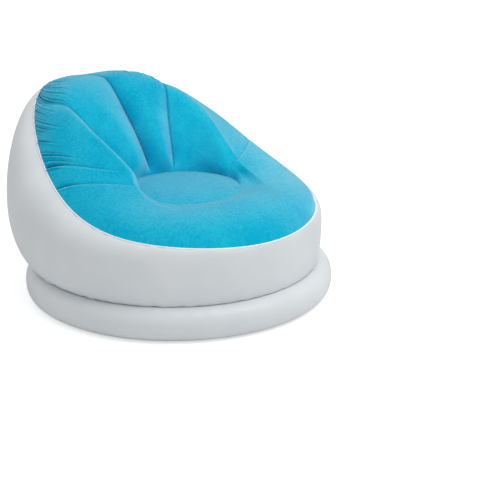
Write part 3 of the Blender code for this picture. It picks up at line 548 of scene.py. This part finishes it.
# On the +X half the inner faces are painted brighter, a painted fill light, and deeper at their front end, a
# painted shade.
minus_x_facing = span(flock, faced["X"], -0.10, -0.55)
spot = node(flock, "ShaderNodeSeparateXYZ", Vector=where).outputs
half = span(flock, spot["X"], 0.04, 0.16, 0.0, 0.9)
painted_fill_share = math_of(flock, "MULTIPLY", minus_x_facing, half)
painted_shade_share = span(flock, spot["Y"], -0.09, -0.13)
painted_fill_tones = two_tones(flock, mottle, 0.38, 0.64, "#08BCDE", "#34CEE8")
painted_fill_and_shade_tone = blend(flock, painted_shade_share, painted_fill_tones, linear("#0098BC"))
with_painted_fill = blend(flock, painted_fill_share, pile_tone, painted_fill_and_shade_tone)
# Faces turned to +X, and upward faces towards the +X arm, are painted paler: a painted sheen.
plus_x_sheen_share = span(flock, faced["X"], 0.02, 0.60, 0.0, 0.55)
top_face = span(flock, faced["Z"], 0.80, 1.0)
arm_top = span(flock, spot["X"], 0.15, 0.32, 0.14, 0.75)
painted_sheen_share = math_of(flock, "ADD", plus_x_sheen_share, math_of(flock, "MULTIPLY", top_face, arm_top))
painted_sheen_tones = two_tones(flock, mottle, 0.40, 0.62, "#56C4E0", "#86DAF0")
with_painted_sheen = blend(flock, painted_sheen_share, with_painted_fill, painted_sheen_tones)
# Painted shade in the folds and seams: the colour goes deep towards #007CA4 there, and the sheen is cut
# there too.
fold = node(flock, "ShaderNodeAttribute", {"attribute_name": "fold"}).outputs["Fac"]
shade = math_of(flock, "MULTIPLY", fold, 0.85)
join(flock, blend(flock, shade, with_painted_sheen, linear("#007CA4")), shader, "Base Color")
facing = node(flock, "ShaderNodeLayerWeight", Blend=0.5).outputs["Facing"]
outline_share = span(flock, facing, 0.80, 1.0, 1.0, 0.40)
fold_sheen_cut = span(flock, fold, 0.0, 1.0, 1.0, 0.05)
join(flock, math_of(flock, "MULTIPLY", outline_share, fold_sheen_cut), shader, "Sheen Weight")
pile = node(flock, "ShaderNodeTexNoise", Vector=where, Scale=420.0, Detail=2.0).outputs["Fac"]
relief = node(flock, "ShaderNodeBump", Height=pile, Strength=0.35, Distance=0.0012).outputs["Normal"]
relief = node(flock, "ShaderNodeBump", Height=speck, Strength=0.55, Distance=0.003, Normal=relief)
# Slack film crinkles a little where it lies flat, about 15 mm from crinkle to crinkle
crinkle = node(flock, "ShaderNodeTexNoise", Vector=where, Scale=65.0, Detail=2.0, Distortion=2.0)
relief = node(flock, "ShaderNodeBump", Height=crinkle.outputs["Fac"], Strength=brushed, Distance=0.004,
              Normal=relief.outputs["Normal"])
join(flock, relief.outputs["Normal"], shader, "Normal")


def flocked_panel(name, start, end, count, replaced):
    """Panel of the bowl between two places, past the front if end is beyond it, with lips all round."""
    places = np.linspace(start, end, count)
    places = np.where(places > FRONT_LINE, places - 2 * FRONT_LINE, places)
    rows = np.concatenate([np.linspace(0, CREST_ROW, 52)[:-1], np.linspace(CREST_ROW, 1, 66)])
    place, row = np.meshgrid(places, rows)
    plain = bowl(seam_angle(place, row), row)
    # The film rounds off its turn over the crest: repeated means of points and their neighbours
    for _ in range(ROUNDING_PASSES):
        plain[1:-1] = (plain[:-2] + 2 * plain[1:-1] + plain[2:]) / 4
    normal = grid_normals(plain, closed=False)
    puffed, seam_folds = channels(place, row)
    gathered, gather_folds = gathers(place, row)
    points = plain + normal * (puffed + gathered)[..., None]
    around = seam_angle(places, np.zeros(count))
    inner = unit(CHAMBER_MIDDLE - rim(around))
    at_seat = seam_angle(places, np.ones(count))
    seat_lip = ring(SEAT_RADIUS, SEAT_HEIGHT - LIP, BASE_CENTRE_Y - SEAT_FORWARD, at_seat)
    grid = np.concatenate([[rim(around) + inner * LIP], points, [seat_lip]])
    # The side edges turn in along the arm seams
    normal = np.concatenate([normal[:1], normal, normal[-1:]])
    first, last = grid[:, :1] - normal[:, :1] * LIP, grid[:, -1:] - normal[:, -1:] * LIP
    grid = np.concatenate([first, grid, last], 1)
    folds = np.pad(np.maximum(seam_folds, gather_folds), 1, mode="edge")
    panel = skin(name, grid[:, ::-1], thickness=FLOCKED_FILM, folds=folds[:, ::-1])
    panel.data.materials.append(flock)
    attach(panel, "chair")
    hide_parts(replaced)


flocked_panel("flocked_back", -ARM_SEAM, ARM_SEAM, 960, "back_panel")
flocked_panel("flocked_front", ARM_SEAM, 2 * FRONT_LINE - ARM_SEAM, 760, "front_panel")


# Flocked seat panel
#
# A round panel of the same flocked film, crowned by the air below and held down at its edge
# by the round web under it.

SEAT_CROWN = 0.018
SEAT_PUCKER = 0.0008
radius = np.linspace(1, 0.02, 60)[:, None] * (SEAT_RADIUS - SEAM_GAP)
around = np.linspace(0, 2 * math.pi, 240, endpoint=False)
share = radius / radius.max()
height = SEAT_HEIGHT + SEAT_CROWN * (1 - share ** 3.2)
near_edge = smooth(share, 0.82, 0.93) * (1 - smooth(share, 0.96, 1.0))
height = height + SEAT_PUCKER * waves(around, 8, 26, 41) * near_edge
seat = ring(radius, height, BASE_CENTRE_Y - SEAT_FORWARD, around[None, :])
edge = ring(SEAT_RADIUS - SEAM_GAP, SEAT_HEIGHT - LIP, BASE_CENTRE_Y - SEAT_FORWARD, around)
middle = np.array([0.0, BASE_CENTRE_Y - SEAT_FORWARD, SEAT_HEIGHT + SEAT_CROWN]) + np.zeros((1, 240, 3))
seat_skin = skin("flocked_seat", np.concatenate([[edge], seat, middle]), closed=True, thickness=0)
seat_skin.data.materials.append(flock)
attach(seat_skin, "chair")
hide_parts("seat_panel")


# Rim weld
#
# The high-frequency weld that joins the white skin and the flocked panels all round the rim.
# It shows as a narrow raised bead of pressed white vinyl.

BEAD_RADIUS = 0.0024
BEAD_RISE = 0.0014
weld, shader = new_material("pressed_vinyl_weld")
shader.inputs["IOR"].default_value = VINYL_IOR
shader.inputs["Roughness"].default_value = 0.30
where = node(weld, "ShaderNodeTexCoord").outputs["Object"]
press = node(weld, "ShaderNodeTexNoise", Vector=where, Scale=160.0, Detail=1.0).outputs["Fac"]
# The bead's tone is lighter than the white skins': a painted highlight along the rim. Its faint mottle is
# the pressed vinyl's own.
join(weld, two_tones(weld, press, 0.3, 0.7, "#ECF3F5", "#F8FAFB"), shader, "Base Color")
around = np.linspace(0, 2 * math.pi, 720, endpoint=False)
line = rim(around)
line = line + BEAD_RISE * unit(line - CHAMBER_MIDDLE)
along = unit(np.roll(line, -1, 0) - np.roll(line, 1, 0))
side = unit(np.cross(along, np.array([0.0, 0.0, 1.0])))
over = np.cross(side, along)
turn = np.linspace(0, 2 * math.pi, 12, endpoint=False)[:, None, None]
bead = line[None] + BEAD_RADIUS * (np.cos(turn) * side[None] + np.sin(turn) * over[None])
rim_bead = skin("rim_weld", np.concatenate([bead, bead[:1]]), closed=True, thickness=0)
rim_bead.data.materials.append(weld)
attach(rim_bead, "chair")


# Air valves
#
# Soft moulded white vinyl: a collar welded to the skin, a wide stopper on a strap for letting
# the air out, a small cap on its own strap for the pump, and a clear check flap inside.

moulded, shader = new_material("moulded_soft_vinyl")
shader.inputs["Roughness"].default_value = 0.35
shader.inputs["IOR"].default_value = VINYL_IOR
where = node(moulded, "ShaderNodeTexCoord").outputs["Object"]
cloud = node(moulded, "ShaderNodeTexNoise", Vector=where, Scale=60.0, Detail=2.0).outputs["Fac"]
join(moulded, two_tones(moulded, cloud, 0.0, 1.0, "#DDDFE1", "#EBEDEE"), shader, "Base Color")
for valve in ("body_valve", "base_valve"):
    for piece in ("collar", "stopper", "cap"):
        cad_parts[f"{valve}_{piece}"].data.materials.clear()
        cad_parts[f"{valve}_{piece}"].data.materials.append(moulded)


# Camera, floor and light
#
# The photograph's viewing angle, a plain white floor that shows white to the camera and keeps
# the chair's soft shadow, a white world, and one large soft lamp from the right and above.

CAMERA_TURN = math.radians(-43.3)
CAMERA_LIFT = math.radians(19.5)
CAMERA_DISTANCE = 4.692
FOCAL_PIXELS = 1403.0
PICTURE = 504.0
MARK_PIXEL = (181.6, 286.9)
MARK = np.array([0.0, -0.0567, 0.0])
away = np.array([math.sin(CAMERA_TURN) * math.cos(CAMERA_LIFT),
                 -math.cos(CAMERA_TURN) * math.cos(CAMERA_LIFT),
                 math.sin(CAMERA_LIFT)])
right = np.array([math.cos(CAMERA_TURN), math.sin(CAMERA_TURN), 0.0])
upward = np.cross(away, right)
sideways = (MARK_PIXEL[0] - PICTURE / 2) / FOCAL_PIXELS * CAMERA_DISTANCE
lift = -(MARK_PIXEL[1] - PICTURE / 2) / FOCAL_PIXELS * CAMERA_DISTANCE
camera_spot = MARK - sideways * right - lift * upward + CAMERA_DISTANCE * away
camera_data = bpy.data.cameras.new("camera")
camera_data.sensor_width = 36.0
camera_data.lens = FOCAL_PIXELS / PICTURE * camera_data.sensor_width
camera_data.clip_end = 100.0
camera = bpy.data.objects.new("camera", camera_data)
camera_rows = [[right[i], upward[i], away[i], camera_spot[i]] for i in range(3)]
camera.matrix_world = Matrix(camera_rows + [[0, 0, 0, 1]])
bpy.context.scene.collection.objects.link(camera)
bpy.context.scene.camera = camera

FLOOR_HALF = 12.0
floor_mesh = bpy.data.meshes.new("floor")
corners = [(-FLOOR_HALF, -FLOOR_HALF, 0), (FLOOR_HALF, -FLOOR_HALF, 0), (FLOOR_HALF, FLOOR_HALF, 0),
           (-FLOOR_HALF, FLOOR_HALF, 0)]
floor_mesh.from_pydata(corners, [], [(0, 1, 2, 3)])
floor = bpy.data.objects.new("floor", floor_mesh)
bpy.context.scene.collection.objects.link(floor)
paper, shader = new_material("white_paper_floor")
shader.inputs["Base Color"].default_value = linear("#F2F3F4")
shader.inputs["Roughness"].default_value = 0.9
shader.inputs["Emission Color"].default_value = (1, 1, 1, 1)
seen = node(paper, "ShaderNodeLightPath")
glow = node(paper, "ShaderNodeMath", {"operation": "MULTIPLY"}, i0=seen.outputs["Is Camera Ray"], i1=0.50)
join(paper, glow.outputs[0], shader, "Emission Strength")
floor_mesh.materials.append(paper)

SKY_STRENGTH = 0.66
SEEN_SKY_STRENGTH = 1.0
world = bpy.data.worlds.new("studio")
world.use_nodes = True
bpy.context.scene.world = world
sky = world.node_tree.nodes["Background"]
paths = world.node_tree.nodes.new("ShaderNodeLightPath")
most = world.node_tree.nodes.new("ShaderNodeMath")
most.operation = "MAXIMUM"
world.node_tree.links.new(paths.outputs["Is Camera Ray"], most.inputs[0])
world.node_tree.links.new(paths.outputs["Is Glossy Ray"], most.inputs[1])
strength = world.node_tree.nodes.new("ShaderNodeMapRange")
world.node_tree.links.new(most.outputs[0], strength.inputs["Value"])
strength.inputs["To Min"].default_value = SKY_STRENGTH
strength.inputs["To Max"].default_value = SEEN_SKY_STRENGTH
world.node_tree.links.new(strength.outputs["Result"], sky.inputs["Strength"])
sky.inputs["Color"].default_value = (1, 1, 1, 1)

LAMP_SIZE = 2.2
LAMP_POWER = 40.0
LAMP_DISTANCE = 3.2
lamp_data = bpy.data.lights.new("softbox", "AREA")
lamp_data.shape = "DISK"
lamp_data.size = LAMP_SIZE
lamp_data.energy = LAMP_POWER
lamp = bpy.data.objects.new("softbox", lamp_data)
aim = unit(0.50 * right + 0.30 * away * np.array([1.0, 1.0, 0.0]) + np.array([0.0, 0.0, 1.0]))
lamp_spot = LAMP_DISTANCE * aim
turned_x = unit(np.cross(np.array([0.0, 0.0, 1.0]), aim))
turned_y = np.cross(aim, turned_x)
lamp_rows = [[turned_x[i], turned_y[i], aim[i], lamp_spot[i]] for i in range(3)]
lamp.matrix_world = Matrix(lamp_rows + [[0, 0, 0, 1]])
bpy.context.scene.collection.objects.link(lamp)

bpy.context.scene.view_settings.view_transform = "Standard"
